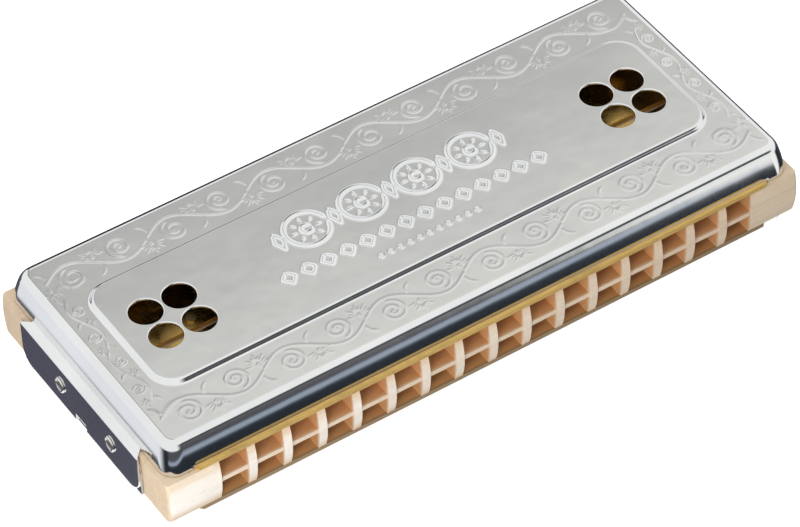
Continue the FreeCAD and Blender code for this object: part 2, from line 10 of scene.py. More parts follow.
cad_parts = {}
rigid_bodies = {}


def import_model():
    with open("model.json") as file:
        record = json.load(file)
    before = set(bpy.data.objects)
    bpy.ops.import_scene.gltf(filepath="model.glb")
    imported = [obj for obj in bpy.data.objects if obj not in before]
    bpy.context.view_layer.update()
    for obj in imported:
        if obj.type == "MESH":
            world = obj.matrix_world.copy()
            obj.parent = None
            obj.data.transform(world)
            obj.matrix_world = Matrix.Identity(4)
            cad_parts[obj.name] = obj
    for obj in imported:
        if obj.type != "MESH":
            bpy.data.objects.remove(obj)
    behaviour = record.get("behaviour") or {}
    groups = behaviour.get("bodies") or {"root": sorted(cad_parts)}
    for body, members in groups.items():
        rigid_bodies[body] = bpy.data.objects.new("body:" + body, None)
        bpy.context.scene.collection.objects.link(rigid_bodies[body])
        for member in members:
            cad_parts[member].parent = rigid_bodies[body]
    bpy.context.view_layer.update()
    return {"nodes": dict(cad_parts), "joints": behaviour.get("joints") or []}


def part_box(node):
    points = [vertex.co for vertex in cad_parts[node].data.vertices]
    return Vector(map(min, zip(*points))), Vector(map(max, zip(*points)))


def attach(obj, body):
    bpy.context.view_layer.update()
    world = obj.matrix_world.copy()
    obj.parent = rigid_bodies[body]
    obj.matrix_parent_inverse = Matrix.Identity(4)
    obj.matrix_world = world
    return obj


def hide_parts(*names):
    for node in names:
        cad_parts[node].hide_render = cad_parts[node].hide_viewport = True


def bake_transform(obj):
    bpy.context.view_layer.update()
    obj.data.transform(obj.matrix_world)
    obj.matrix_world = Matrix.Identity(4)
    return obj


# A double-sided tremolo harmonica: a wooden comb with two rows of holes on each long edge, brass reed
# plates on both faces and two stamped, plated covers whose end flaps are nailed to the comb.
# Lengths are millimetres about the middle of the comb: X along the comb with the low notes at -X,
# -Y towards the front mouthpiece, +Z up. The pieces are set down in the frame's metres by placed().

for leftover in list(bpy.data.objects):
    bpy.data.objects.remove(leftover)
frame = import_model()

BODY = "harmonica_body"
MM = 0.001
COMB_LOW, COMB_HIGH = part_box("comb")
MIDDLE = (COMB_LOW + COMB_HIGH) / 2


def half_size(node):
    """How far a node reaches from the comb's middle along X, Y and Z, in millimetres."""
    low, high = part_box(node)
    return Vector(max(abs(a), abs(b)) for a, b in zip(low - MIDDLE, high - MIDDLE)) / MM


# ---------------------------------------------------------------- sizes

COMB = half_size("comb")
PLATE = half_size("front_top_plate")
COVER = half_size("top_cover")
NAILS = half_size("cover_nails")

SHEET = 0.4                     # thickness of a cover's metal
LEAN = (1.0, 1.3)              # how far the skirt leans in from foot to rim, at the ends and the sides
FOOT = (64.7, COVER.y)          # half sizes of the skirt's foot
RIM = (FOOT[0] - LEAN[0], FOOT[1] - LEAN[1])    # and of the rim where skirt and rim would meet
RIM_HEIGHT = COVER.z - 0.95
SKIRT_BULGE = 0.17
ROLL_RADIUS = 1.9
ROLL_START = math.radians(18)
CORNER_RADIUS = 3.0
BORDER_RELIEF = 0.029
PANEL_RELIEF = 0.2
PANEL_HEIGHT = COVER.z - PANEL_RELIEF
PANEL = (56.7, 13.3)            # half sizes of the raised panel's flat top
PANEL_CORNER = 4.5
BEVEL_RUN = 0.75
ROUNDING = 0.22                 # how far the bevel's rounded foot and crest reach past it
HOLE_RADIUS = 3.0
HOLE_SPACING = 6.7
HOLE_CENTRE = 47.0
HOLE_SIDES = 72
# the rolled lip of a hole: rows of how far outside the hole and how far below the panel
HOLE_LIP = ((0.33, 0.0), (0.27, 0.0), (0.21, 0.0), (0.15, 0.02), (0.08, 0.07), (0.02, 0.17), (0.0, 0.34))
FLAP_HALF = 19.3
FLAP_CORNER = 3.4
FLAP_REACH = 4.4
FLANGE_SLOPE = 0.13             # fall of a flap's flat part towards the comb's end
FLAP_FILLET = 0.35              # between a flap's flat part and the skirt
FLAP_BEND = 0.45
FLAP_TAPER = 0.085              # how much narrower a flap is at the skirt, as a share
NOTCH = (-2.0, 1.6, 1.5)        # from y, to y, depth
NAIL_SPOTS = ((-10.2, 0.4), (6.3, 0.4))
NAIL_RADIUS = 0.75
NAIL_HEAD_RADIUS = 1.55
NAIL_LENGTH = 10.0
REED_WIDTH = 2.2
REED_TAIL = 1.6                 # how far a reed reaches back from its bend, under its rivet
REED_ROOT_GAP = 0.3             # where its thick root ends, before the bend
EDGE_EASE = 0.14                # bevel of the comb's sharp edges

ARC_STEPS = 14
LONG_STEPS = 640
SHORT_STEPS = 250
BORDER_STEPS = 52
PATCH = (30.0, 10.6, 0.2)       # half sizes and step of the ornamented patch of the panel
STROKE_STEP = 0.12              # between neighbouring points of an embossed line
BORDER_MARGIN = 1.6             # plain strip between the border's scroll and the rolled edge
SIDE_SCROLLS = 6
END_SCROLLS = 2
END_LINE_SHARE = 0.75           # width of the scroll's lines at the short ends
MOTIF_PITCH = 11.4              # of the rosettes and of the tall lozenges between them
MOTIF_ROW = 4.4
LOZENGE_PITCH = 4.0
LOZENGE_ROW = -3.9
BEAD_PITCH = 2.0
BEAD_ROW = -8.5

LENS = 190.445
CAMERA_PLACE = (-0.282736, -0.439749, 0.540437)
CAMERA_RIGHT = (0.83146599, -0.55526446, -0.01859249)
CAMERA_UP = (0.40710235, 0.5861491, 0.70049762)
FLOOR_REACH = 6.0               # metres
FLOOR_GAP = 0.0002              # metres, below the bottom cover


# ---------------------------------------------------------------- node formulas

class Field:
    """A value in a node tree, so that a material can be written as a formula."""

    def __init__(self, tree, socket):
        self.tree = tree
        self.socket = socket

    def node(self, kind, inputs, output=0, **settings):
        made = self.tree.nodes.new(kind)
        for key, value in settings.items():
            setattr(made, key, value)
        for key, value in inputs.items():
            if isinstance(value, Field):
                self.tree.links.new(value.socket, made.inputs[key])
            else:
                made.inputs[key].default_value = value
        return Field(self.tree, made.outputs[output])

    def math(self, operation, other=0.0):
        return self.node("ShaderNodeMath", {0: self, 1: other}, operation=operation)

    def __add__(self, other):
        return self.math("ADD", other)

    def __sub__(self, other):
        return self.math("SUBTRACT", other)

    def __mul__(self, other):
        return self.math("MULTIPLY", other)

    def millimetres(self):
        """This length's size in millimetres, without its sign."""
        return self.math("ABSOLUTE") * (1 / MM)

    def step(self, low, high):
        """0 below low and 1 above high, or the other way round where low is the larger."""
        return self.node(
            "ShaderNodeMapRange", {"Value": self, "From Min": low, "From Max": high},
            interpolation_type="SMOOTHSTEP",
        )

    def scaled(self, x, y, z):
        return self.node("ShaderNodeMapping", {"Vector": self, "Scale": (x, y, z)})

    def noise(self, scale, detail=3.0, roughness=0.5, distortion=0.0):
        return self.node(
            "ShaderNodeTexNoise",
            {"Vector": self, "Scale": scale, "Detail": detail, "Roughness": roughness,
             "Distortion": distortion},
        )

    def parts(self):
        """The X, Y and Z of a vector."""
        split = self.node("ShaderNodeSeparateXYZ", {0: self})
        return [Field(self.tree, output) for output in split.socket.node.outputs]

    def mix(self, low, high):
        """The colour low where this is 0 and high where it is 1."""
        return self.node(
            "ShaderNodeMix", {"Factor": self, 6: low, 7: high}, output=2, data_type="RGBA",
        )


def new_material(name):
    """A material with its Principled shader and a field of points in metres on the object."""
    material = bpy.data.materials.new(name)
    material.use_nodes = True
    tree = material.node_tree
    shader = tree.nodes["Principled BSDF"]
    place = Field(tree, tree.nodes.new("ShaderNodeTexCoord").outputs["Object"])
    return material, shader, place


def feed(shader, name, field):
    field.tree.links.new(field.socket, shader.inputs[name])


def feed_bump(shader, height, distance, strength=1.0):
    bump = height.node("ShaderNodeBump", {"Height": height, "Distance": distance, "Strength": strength})
    feed(shader, "Normal", bump)


# ---------------------------------------------------------------- materials

def wood():
    """Fine wood along X: rings, fibres and pores, with painted light paling the mouthpiece towards the low
    end, and reddish brown in the chambers with painted shade darker further in.
    """
    material, shader, place = new_material("pear_wood")
    along = place.scaled(0.06, 1, 1)
    rings = along.noise(520, 4, 0.55, 1.2)
    fibres = place.scaled(0.05, 1, 1).noise(4200, 3, 0.6)
    pores = place.scaled(0.35, 1, 1).noise(5200, 2, 0.5).step(0.62, 0.74)
    patches = place.noise(90, 3)
    x, y, z = place.parts()
    depth = y.millimetres()
    tone = rings.step(0.3, 0.7).mix((0.66, 0.50, 0.33, 1), (0.74, 0.58, 0.40, 1))
    # painted light: the mouthpiece faces are paled towards the low end, where the key lamp is nearest, as
    # if lit more strongly there
    painted_light_on_front = (x * (1 / MM)).step(55.0, -75.0) * depth.step(COMB.y - 0.5, COMB.y - 0.1)
    tone = painted_light_on_front.mix(tone, rings.step(0.2, 0.8).mix((0.84, 0.75, 0.62, 1), (0.88, 0.80, 0.68, 1)))
    tone = (patches.step(0.35, 0.7) * 0.4).mix(tone, (0.75, 0.60, 0.43, 1))
    tone = (fibres.step(0.35, 0.75) * 0.25).mix(tone, (0.60, 0.44, 0.29, 1))
    tone = (pores * 0.3).mix(tone, (0.46, 0.30, 0.18, 1))
    cut = x.millimetres().step(56.6, 56.0) * depth.step(COMB.y - 0.35, COMB.y - 1.1)
    cut = cut * (z + -MIDDLE.z).millimetres().step(COMB.z - 0.02, COMB.z - 0.12)
    # the chambers' reddish cut wood, partly painted shade: darker the further in from the mouthpiece
    chamber_wood_painted_shade = depth.step(COMB.y - 5, COMB.y - 0.8).mix((0.50, 0.20, 0.06, 1), (0.66, 0.33, 0.13, 1))
    tone = cut.mix(tone, rings.step(0.2, 0.8).mix(chamber_wood_painted_shade, (0.56, 0.27, 0.11, 1)))
    feed(shader, "Base Color", tone)
    feed(shader, "Roughness", fibres * 0.25 + 0.5)
    feed_bump(shader, fibres + pores * -0.6, 0.00006)
    return material


def brass(name, pale, deep, rough):
    """Rolled brass, scratched along X: stained, bright under the covers, with painted shade darkening and
    dulling the lower plates, darkest along their front edges.
    """
    material, shader, place = new_material(name)
    streaks = place.scaled(0.04, 1, 1).noise(6500, 3, 0.65)
    stains = place.noise(150, 5, 0.65).step(0.45, 0.75)
    tone = streaks.step(0.3, 0.7).mix(pale, deep)
    tone = (stains * 0.45).mix(tone, (0.40, 0.26, 0.11, 1))
    _, y, z = place.parts()
    depth = y.millimetres()
    covered = depth.step(COVER.y - 0.4, COVER.y - 1.6)
    lower = ((z + -MIDDLE.z) * (1 / MM)).step(COMB.z - 0.2, -COMB.z + 0.2)
    # painted shade: the lower plates, which lie under the comb, get a dark colour, darkest along their
    # front edge; lower also makes them rougher and less metallic
    lower_plate_painted_shade = depth.step(PLATE.y - 0.6, PLATE.y - 0.1).mix((0.48, 0.23, 0.085, 1), (0.20, 0.13, 0.075, 1))
    feed(shader, "Base Color", (lower * 0.9).mix(tone, lower_plate_painted_shade))
    feed(shader, "Roughness", streaks * 0.2 + stains * 0.15 + covered * -0.12 + lower * 0.2 + rough)
    feed(shader, "Metallic", covered * 0.3 + lower * -0.8 + 0.7)
    feed_bump(shader, streaks, 0.00002)
    return material


def plating():
    """Bright plating with faint clouding, polishing marks and a slightly uneven surface."""
    material, shader, place = new_material("bright_plating")
    cloud = place.noise(60, 4, 0.6)
    polish = place.scaled(0.15, 1, 1).noise(5200, 2, 0.6)
    feed(shader, "Base Color", cloud.step(0.3, 0.7).mix((0.83, 0.835, 0.83, 1), (0.89, 0.89, 0.88, 1)))
    feed(shader, "Roughness", cloud * 0.04 + polish * 0.04 + 0.07)
    feed_bump(shader, place.noise(110, 2), 0.00003)
    shader.inputs["Metallic"].default_value = 1.0
    return material


def nail_steel():
    """Nail heads, bright on the rim and dull brown in the dished middle."""
    material, shader, place = new_material("nail_head")
    across = place.parts()
    nearest = None
    for y, z in NAIL_SPOTS:
        aside = across[1] + -(MIDDLE.y + y * MM)
        above = across[2] + -(MIDDLE.z + z * MM)
        reach = (aside * aside + above * above).math("SQRT")
        nearest = reach if nearest is None else nearest.math("MINIMUM", reach)
    dish = nearest.step(NAIL_HEAD_RADIUS * 0.72 * MM, NAIL_HEAD_RADIUS * 0.45 * MM)
    specks = place.noise(3000, 3)
    dull = specks.step(0.35, 0.7).mix((0.36, 0.30, 0.20, 1), (0.16, 0.14, 0.13, 1))
    feed(shader, "Base Color", dish.mix((0.84, 0.84, 0.82, 1), dull))
    feed(shader, "Roughness", dish * 0.25 + specks * 0.1 + 0.15)
    shader.inputs["Metallic"].default_value = 1.0
    return material


# ---------------------------------------------------------------- pieces

def placed(name, points, faces, material, slot, smooth=True):
    """A mesh piece from points in millimetres about the comb's middle."""
    mesh = bpy.data.meshes.new(name)
    spots = np.asarray(points, float) * MM + np.array(MIDDLE)
    mesh.from_pydata(spots.tolist(), [], [list(map(int, face)) for face in faces])
    mesh.validate()
    mesh.polygons.foreach_set("use_smooth", [smooth] * len(mesh.polygons))
    mesh.materials.append(material)
    piece = bpy.data.objects.new(name, mesh)
    bpy.context.scene.collection.objects.link(piece)
    return piece


def grid_faces(rows, columns, first=0, closed=False):
    """Quads of a grid of points held row by row; closed joins each row's end to its start."""
    across = np.arange(columns if closed else columns - 1)
    beside = (across + 1) % columns
    base = first + np.arange(rows - 1)[:, None] * columns
    quads = np.stack([base + across, base + beside, base + columns + beside, base + columns + across], -1)
    return quads.reshape(-1, 4)


def ring(half_x, half_y, radius, height):
    """Points round a rounded rectangle from its front right corner, always the same number."""
    turn = np.linspace(0, math.pi / 2, ARC_STEPS + 1)
    arcs = []
    for quarter, (side_x, side_y) in enumerate(((1, -1), (1, 1), (-1, 1), (-1, -1))):
        angle = turn + (quarter - 1) * math.pi / 2
        centre = np.array([side_x * (half_x - radius), side_y * (half_y - radius)])
        arcs.append(centre + radius * np.stack([np.cos(angle), np.sin(angle)], -1))
    points = []
    for quarter, arc in enumerate(arcs):
        steps = LONG_STEPS if quarter % 2 else SHORT_STEPS
        share = np.linspace(0, 1, steps + 1)[1:-1, None]
        points += [arc, arc[-1] * (1 - share) + arcs[(quarter + 1) % 4][0] * share]
    flat = np.concatenate(points)
    return np.column_stack([flat, np.full(len(flat), height)])


def joined(shapes):
    """The points and faces of several shapes as one."""
    points, faces, total = [], [], 0
    for own_points, own_faces in shapes:
        points.append(own_points)
        faces += [[k + total for k in face] for face in own_faces]
        total += len(own_points)
    return np.concatenate(points), faces


def smoother(t):
    t = np.clip(t, 0, 1)
    return t * t * t * (t * (6 * t - 15) + 10)


# ---------------------------------------------------------------- embossing

def stroke(points, width, height=1.0):
    """A raised line through points: rows of x, y, half width and height."""
    points = np.asarray(points, float)
    run = np.concatenate([[0], np.cumsum(np.hypot(*np.diff(points, axis=0).T))])
    at = np.linspace(0, run[-1], max(2, int(run[-1] / STROKE_STEP)))
    x, y = np.interp(at, run, points[:, 0]), np.interp(at, run, points[:, 1])
    taper = np.clip(np.minimum(at, run[-1] - at) / (3 * width) + 0.35, 0, 1)
    return np.column_stack([x, y, width * taper, height * taper])


def circle_points(x, y, radius, start=0.0, sweep=2 * math.pi, shrink=0.0):
    """Points round a circle, or along a spiral that loses shrink of its radius."""
    share = np.linspace(0, 1, 60)
    angle = start + sweep * share
    reach = radius * (1 - shrink * share)
    return np.column_stack([x + reach * np.cos(angle), y + reach * np.sin(angle)])


def lozenge(x, y, half_x, half_y):
    return [(x, y + half_y), (x + half_x, y), (x, y - half_y), (x - half_x, y), (x, y + half_y)]


def scroll(period, depth):
    """One period of a running scroll along X, centred on Y: a wavy stem, two curls, leaves and fans."""
    strokes = []
    x = np.linspace(0, period, 80)
    wave = 0.26 * depth
    strokes.append(stroke(np.column_stack([x, wave * np.sin(2 * math.pi * x / period)]), 0.34))
    curl = 0.27 * depth
    for half, side in ((0.25, 1), (0.75, -1)):
        centre = (half * period, -side * 0.10 * depth)
        strokes.append(stroke(
            circle_points(*centre, curl, side * math.pi / 2, -side * 3.6 * math.pi, 0.84), 0.3))
        bud = circle_points(*centre, 0.22)
        strokes.append(stroke(bud, 0.3, 0.8))
        for lean in (-1, 1):
            root = np.array([half * period + lean * 0.21 * period, side * 0.10 * depth])
            tip = root + np.array([lean * 0.075 * period, side * 0.26 * depth])
            bend = (root + tip) / 2 + np.array([-lean * 0.045 * period, side * 0.05 * depth])
            share = np.linspace(0, 1, 16)[:, None]
            leaf = root * (1 - share) ** 2 + 2 * bend * share * (1 - share) + tip * share ** 2
            strokes.append(stroke(leaf, 0.3, 0.8))
        fan = np.array([half * period + 0.25 * period, -side * 0.16 * depth])
        strokes.append(stroke(circle_points(*fan, 0.3), 0.25, 0.9))
        for ray in range(-4, 5):
            way = -side * math.pi / 2 + ray * 0.37
            reach = (0.09, 0.22 + 0.06 * (ray % 2 == 0))
            ends = [fan + depth * r * np.array([math.cos(way), math.sin(way)]) for r in reach]
            strokes.append(stroke(ends, 0.24, 0.8))
    return np.concatenate(strokes)


def border_strokes():
    """The scroll repeated along all four sides of the rim."""
    rows = []
    inner = (PANEL[0] + BEVEL_RUN + ROUNDING, PANEL[1] + BEVEL_RUN + ROUNDING)
    outer = (RIM[0] - BORDER_MARGIN, RIM[1] - BORDER_MARGIN)
    for side in (-1, 1):
        depth = outer[1] - inner[1]
        period = 2 * (outer[0] - 1) / SIDE_SCROLLS
        unit = scroll(period, depth)
        for k in range(SIDE_SCROLLS):
            copy = unit.copy()
            copy[:, 0] = -side * (copy[:, 0] + k * period - outer[0] + 1)
            copy[:, 1] = side * (inner[1] + depth / 2) - side * copy[:, 1]
            rows.append(copy)
        narrow = outer[0] - inner[0]
        period = 2 * inner[1] / END_SCROLLS
        unit = scroll(period, narrow)
        for k in range(END_SCROLLS):
            copy = unit.copy()
            across = copy[:, 1].copy()
            copy[:, 1] = side * (copy[:, 0] + k * period - inner[1])
            copy[:, 0] = side * (inner[0] + narrow / 2) + side * across
            copy[:, 2] *= END_LINE_SHARE
            rows.append(copy)
    return np.concatenate(rows)


def panel_strokes():
    """Plain geometric ornament in the middle of the panel: rosettes, then lozenges, then beads."""
    rows = []
    for k in range(4):
        x, y = (k - 1.5) * MOTIF_PITCH, MOTIF_ROW
        rows.append(stroke(circle_points(x, y, 4.1), 0.55))
        rows.append(stroke(circle_points(x, y, 1.0), 0.5))
        for petal in range(8):
            way = petal * math.pi / 4
            ends = [(x + r * math.cos(way), y + r * math.sin(way)) for r in (1.9, 3.1)]
            rows.append(stroke(ends, 0.55, 0.9))
    for k in range(5):
        rows.append(stroke(lozenge((k - 2) * MOTIF_PITCH, MOTIF_ROW, 0.9, 2.2), 0.4, 0.8))
    for k in range(14):
        rows.append(stroke(lozenge((k - 6.5) * LOZENGE_PITCH, LOZENGE_ROW, 1.3, 1.5), 0.38, 0.8))
    for k in range(11):
        rows.append(stroke(circle_points((k - 5) * BEAD_PITCH, BEAD_ROW, 0.35), 0.35, 0.6))
    return np.concatenate(rows)


def emboss(points, strokes, height):
    """Raise the points that lie near a stroke, in a rounded ridge."""
    tree = kdtree.KDTree(len(strokes))
    for index, (x, y, _, _) in enumerate(strokes):
        tree.insert((x, y, 0), index)
    tree.balance()
    for point in points:
        _, index, distance = tree.find((point[0], point[1], 0))
        share = distance / strokes[index, 2]
        if share < 1:
            point[2] += height * strokes[index, 3] * (0.5 + 0.5 * math.cos(math.pi * share))
    return points


# ---------------------------------------------------------------- covers

def skirt_rings():
    """Rings from a cover's foot up the bulged skirt and round the rolled edge."""
    lean = math.atan(LEAN[1] / (RIM_HEIGHT - COMB.z))
    reach = ROLL_RADIUS * math.tan((math.pi / 2 - lean) / 2)
    start_out = ROLL_RADIUS * math.cos(ROLL_START) - reach
    start_height = RIM_HEIGHT - ROLL_RADIUS * (1 - math.sin(ROLL_START))
    profile = []
    for share in np.linspace(0, 1, 15)[:-1]:
        out = LEAN[1] * (1 - share) + start_out * share + 4 * SKIRT_BULGE * share * (1 - share)
        profile.append((out, COMB.z + (start_height - COMB.z) * share))
    for angle in np.linspace(ROLL_START, math.pi / 2, 12):
        profile.append((ROLL_RADIUS * math.cos(angle) - reach,
                        RIM_HEIGHT - ROLL_RADIUS * (1 - math.sin(angle))))
    rings = []
    for out, height in profile:
        wider = out * LEAN[0] / LEAN[1] if out > 0 else out
        rings.append(ring(RIM[0] + wider, RIM[1] + out, CORNER_RADIUS + min(out, 0), height))
    on_plate = np.abs(rings[0][:, 0]) < PLATE.x + 0.2
    for level in rings:
        level[on_plate, 2] = np.maximum(level[on_plate, 2], PLATE.z)
    return rings, reach


def rim_rings(inset):
    """Rings from the rolled edge across the ornamented border and up the panel's bevel."""
    rings = []
    start = (RIM[0] - inset, RIM[1] - inset, CORNER_RADIUS - inset)
    reach = BEVEL_RUN + ROUNDING
    end = (PANEL[0] + reach, PANEL[1] + reach, PANEL_CORNER + 0.6)
    border = []
    for share in np.linspace(0, 1, BORDER_STEPS + 1)[1:]:
        border.append(ring(*(a + (b - a) * share for a, b in zip(start, end)), RIM_HEIGHT))
    raised = emboss(np.concatenate(border), border_strokes(), BORDER_RELIEF)
    rings += list(raised.reshape(len(border), -1, 3))
    run = BEVEL_RUN + 2 * ROUNDING
    for share in np.linspace(0, 1, 15)[1:]:
        out = reach - run * share
        height = RIM_HEIGHT + (PANEL_HEIGHT - RIM_HEIGHT) * smoother(share)
        rings.append(ring(PANEL[0] + out, PANEL[1] + out, PANEL_CORNER + 0.6 - 0.9 * share, height))
    for out in (ROUNDING + 0.15, ROUNDING + 0.3):
        rings.append(ring(PANEL[0] - out, PANEL[1] - out, PANEL_CORNER - 0.4, PANEL_HEIGHT))
    return rings


def hole_centres():
    for end in (-1, 1):
        for across in (-0.5, 0.5):
            for along in (-0.5, 0.5):
                yield end * HOLE_CENTRE + along * HOLE_SPACING, across * HOLE_SPACING


def panel_top(edge, first):
    """The panel's top inside its edge ring: an ornamented patch, pressed holes, flat sheet between."""
    half_x, half_y, step = PATCH
    columns = int(round(2 * half_x / step)) + 1
    rows = int(round(2 * half_y / step)) + 1
    xs, ys = np.linspace(-half_x, half_x, columns), np.linspace(-half_y, half_y, rows)
    patch = np.array([(x, y, PANEL_HEIGHT) for y in ys for x in xs])
    patch = emboss(patch, panel_strokes(), PANEL_RELIEF)
    index = np.arange(rows * columns).reshape(rows, columns)
    around = np.concatenate([index[0, :-1], index[:-1, -1], index[-1, :0:-1], index[:0:-1, 0]])
    points, faces = [patch], [grid_faces(rows, columns, first)]
    loops = [(edge, np.arange(first - len(edge), first)), (patch[around], around + first)]
    first += len(patch)
    turn = np.linspace(0, 2 * math.pi, HOLE_SIDES, endpoint=False)
    for x, y in hole_centres():
        for wider, drop in HOLE_LIP:
            reach = HOLE_RADIUS + wider
            level = np.full(len(turn), PANEL_HEIGHT - drop)
            points.append(np.column_stack([x + reach * np.cos(turn), y + reach * np.sin(turn), level]))
        loops.append((points[-len(HOLE_LIP)], np.arange(first, first + HOLE_SIDES)))
        faces.append(grid_faces(len(HOLE_LIP), HOLE_SIDES, first, closed=True))
        first += len(HOLE_LIP) * HOLE_SIDES
    flat, names, borders = [], [], []
    for line, own in loops:
        base = len(flat)
        flat += [Vector(point[:2]) for point in line]
        names += list(own)
        borders += [(base + k, base + (k + 1) % len(line)) for k in range(len(line))]
    made = delaunay_2d_cdt(flat, borders, [], 0, 1e-6)
    sources = [names[group[0]] for group in made[3]]
    between = []
    for face in made[2]:
        middle = sum((made[0][k] for k in face), Vector((0, 0))) / len(face)
        in_patch = abs(middle.x) < half_x and abs(middle.y) < half_y
        in_hole = any(math.hypot(middle.x - x, middle.y - y) < HOLE_RADIUS + HOLE_LIP[0][0]
                      for x, y in hole_centres())
        if not (in_patch or in_hole):
            between.append([sources[k] for k in face])
    return np.concatenate(points), faces, between


def flap(layer_face, first):
    """One end flap at +X: out from the skirt's foot, down over the comb's end, notched at its middle."""
    sides = np.unique(np.round(np.concatenate([
        np.linspace(-FLAP_HALF, FLAP_HALF, 120),
        FLAP_HALF - FLAP_CORNER * (1 - np.sin(np.linspace(0, math.pi / 2, 14))),
        -FLAP_HALF + FLAP_CORNER * (1 - np.sin(np.linspace(0, math.pi / 2, 14))),
        [NOTCH[0], NOTCH[0] + 0.05, NOTCH[1] - 0.05, NOTCH[1]],
    ]), 4))
    past = np.clip(np.abs(sides) - (FLAP_HALF - FLAP_CORNER), 0, FLAP_CORNER)
    foot = -FLAP_REACH + FLAP_CORNER - np.sqrt(FLAP_CORNER ** 2 - past ** 2)
    foot = np.where((sides > NOTCH[0] + 0.01) & (sides < NOTCH[1] - 0.01), -FLAP_REACH + NOTCH[2], foot)
    top = COMB.z + SHEET
    skirt = FOOT[0] - 0.05
    fillet, bend = FLAP_FILLET, FLAP_BEND
    rise = (layer_face - bend - FOOT[0] - fillet) * FLANGE_SLOPE
    section = [(skirt + fillet * (1 - math.cos(a)), top + rise + fillet * (1 - math.sin(a)))
               for a in np.linspace(0, math.pi / 2 - FLANGE_SLOPE, 6)]
    section += [(layer_face - bend + bend * math.sin(a), top - bend * (1 - math.cos(a)))
                for a in np.linspace(FLANGE_SLOPE, math.pi / 2, 8)]
    rows = []
    for x, z in section:
        share = min(1.0, (x - skirt) / (layer_face - FOOT[0]))
        narrow = 1 - FLAP_TAPER * (1 - share)
        rows.append(np.column_stack([np.full(len(sides), x), sides * narrow, np.full(len(sides), z)]))
    start = section[-1][1]
    for share in np.linspace(0, 1, 26)[1:]:
        level = start + (foot - start) * share
        rows.append(np.column_stack([np.full(len(sides), layer_face), sides, level]))
    points = np.concatenate(rows)
    return points, grid_faces(len(rows), len(sides), first)


def cover(name, node, layer_face, turned, material):
    """One stamped cover; turned rolls it half a turn about X for the underside."""
    lower, inset = skirt_rings()
    rings = lower + rim_rings(inset)
    count = len(rings[0])
    points = [np.concatenate(rings)]
    faces = [grid_faces(len(rings), count, closed=True)]
    total = len(points[0])
    top, top_faces, between = panel_top(rings[-1], total)
    points.append(top)
    faces += top_faces
    total += len(top)
    right, right_faces = flap(layer_face, total)
    left = right * (-1, 1, 1)
    points += [right, left]
    faces += [right_faces[:, ::-1], right_faces + len(right)]
    everything = np.concatenate(points)
    if turned:
        everything = everything * (1, -1, -1)
    quads = [list(face) for block in faces for face in block]
    piece = placed(name, everything, quads + between, material, "cover_chrome")
    thick = piece.modifiers.new("sheet", "SOLIDIFY")
    thick.thickness = SHEET * MM
    thick.offset = -1
    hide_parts(node)
    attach(piece, BODY)


# ---------------------------------------------------------------- comb, reeds and nails

def eased_copy(name, node, width, material):
    """A copy of a CAD node with its sharp edges eased by width millimetres."""
    mesh = frame["nodes"][node].data.copy()
    mesh.name = name
    mesh.materials.clear()
    mesh.materials.append(material)
    shape = bmesh.new()
    shape.from_mesh(mesh)
    bmesh.ops.remove_doubles(shape, verts=shape.verts, dist=0.001 * MM)
    bmesh.ops.dissolve_limit(shape, angle_limit=math.radians(2), verts=shape.verts, edges=shape.edges)
    shape.to_mesh(mesh)
    shape.free()
    if "custom_normal" in mesh.attributes:
        mesh.attributes.remove(mesh.attributes["custom_normal"])
    piece = bpy.data.objects.new(name, mesh)
    bpy.context.scene.collection.objects.link(piece)
    ease = piece.modifiers.new("eased_edges", "BEVEL")
    ease.width = width * MM
    ease.segments = 2
    ease.limit_method = "ANGLE"
    ease.angle_limit = math.radians(35)
    ease.use_clamp_overlap = True
    ease.harden_normals = True
    mesh.polygons.foreach_set("use_smooth", [True] * len(mesh.polygons))
    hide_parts(node)
    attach(piece, BODY)


def tongue(low, high, line, outward):
    """One reed's points and faces: a strip from its pad to its tip, thinned at the waist."""
    root, tip = (low.y, high.y) if abs(low.y - line) < abs(high.y - line) else (high.y, low.y)
    way = math.copysign(1, tip - root)
    length = abs(tip - root)
    stations = [-REED_TAIL, -REED_ROOT_GAP] + [length * share for share in np.linspace(0, 1, 15)]
    shares = np.array(stations) / length
    thick = np.interp(shares, [-1, 0.05, 0.7, 0.93, 1], [0.28, 0.28, 0.16, 0.2, 0.22])
    seat = low.z if outward > 0 else high.z
    rows = []
    ease = 0.12
    for run, depth in zip(stations, thick):
        y = root + way * run
        rows.append([
            (low.x, y, seat), (low.x, y, seat + outward * (depth - 0.04)),
            (low.x + ease, y, seat + outward * depth), (high.x - ease, y, seat + outward * depth),
            (high.x, y, seat + outward * (depth - 0.04)), (high.x, y, seat),
        ])
    points = np.array(rows).reshape(-1, 3)
    sides = 6
    faces = [list(face) for face in grid_faces(len(rows), sides, closed=True)]
    faces += [list(range(sides)), list(range(len(points) - sides, len(points)))[::-1]]
    if way * outward > 0:
        faces = [face[::-1] for face in faces]
    return points, faces


def reed(joint, material):
    """The one or two tongues of the reed on one joint, each reaching back under its pad."""
    node = joint["child"]
    low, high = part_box(node)
    low, high = (low - MIDDLE) / MM, (high - MIDDLE) / MM
    hinge = (Vector(joint["pos_m"]) - MIDDLE) / MM
    outward = 1 if abs(low.z + high.z) / 2 > COMB.z + 0.5 else -1
    outward *= 1 if low.z + high.z > 0 else -1
    starts = [low.x] if high.x - low.x < 2 * REED_WIDTH else [low.x, high.x - REED_WIDTH]
    shapes = []
    for start in starts:
        corners = Vector((start, low.y, low.z)), Vector((start + REED_WIDTH, high.y, high.z))
        shapes.append(tongue(*corners, hinge.y, outward))
    piece = placed(f"{node}_tongue", *joined(shapes), material, "reed_brass", smooth=False)
    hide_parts(node)
    away = math.copysign(1, (low.y + high.y) / 2 - hinge.y)
    middle = Vector(joint["pos_m"])
    start, end = middle.copy(), middle.copy()
    start.y -= away * 0.2 * MM
    end.y += away * 1.2 * MM
    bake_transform(piece)


